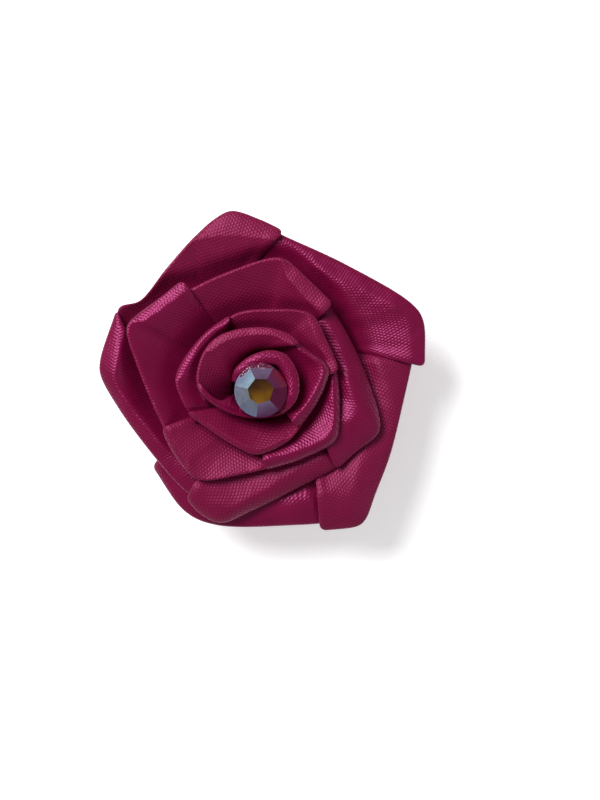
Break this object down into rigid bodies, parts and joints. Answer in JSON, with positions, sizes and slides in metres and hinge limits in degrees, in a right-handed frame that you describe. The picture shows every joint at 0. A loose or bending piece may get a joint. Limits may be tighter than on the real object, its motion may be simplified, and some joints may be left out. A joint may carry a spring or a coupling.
{
  "type": "ribbon rose boutonniere",
  "caption": "Boutonniere: a satin ribbon folded into a rose, a faceted flat-backed stone in its centre, a felt disc and a bar pin with a safety catch behind.",
  "frame": {"origin": "under the middle of the flower, on the surface that the pin rests on", "axes": "+Z is the way the flower faces, +X across it, +Y up it as it is worn and as the picture shows it"},
  "size_m": [0.0449, 0.0438, 0.022],
  "materials": {
    "satin_ribbon": "satin weave, soft sheen",
    "coated_glass": "faceted, rainbow coating",
    "clear_glue": "set hot glue",
    "felt": "pressed felt, matt",
    "plated_steel": "nickel plate"
  },
  "bodies": {
    "flower": {"satin_ribbon": "satin_ribbon", "rhinestone": "coated_glass", "glue_dab": "clear_glue", "felt_backing": "felt", "pin_bar": "plated_steel", "hinge_rivet": "plated_steel"},
    "needle": {"pin_needle": "plated_steel"},
    "collar": {"catch_collar": "plated_steel"}
  },
  "joints": [
    {"name": "needle_hinge", "type": "hinge", "parent": "flower", "child": "needle", "pos_m": [-0.01025, -0.00125, 0.00175], "axis": [0, 1, 0], "range_deg": [0, 75]},
    {"name": "catch_lock", "type": "hinge", "parent": "flower", "child": "collar", "pos_m": [0.00935, -0.00125, 0.00175], "axis": [-1, 0, 0], "range_deg": [0, 70]}
  ]
}
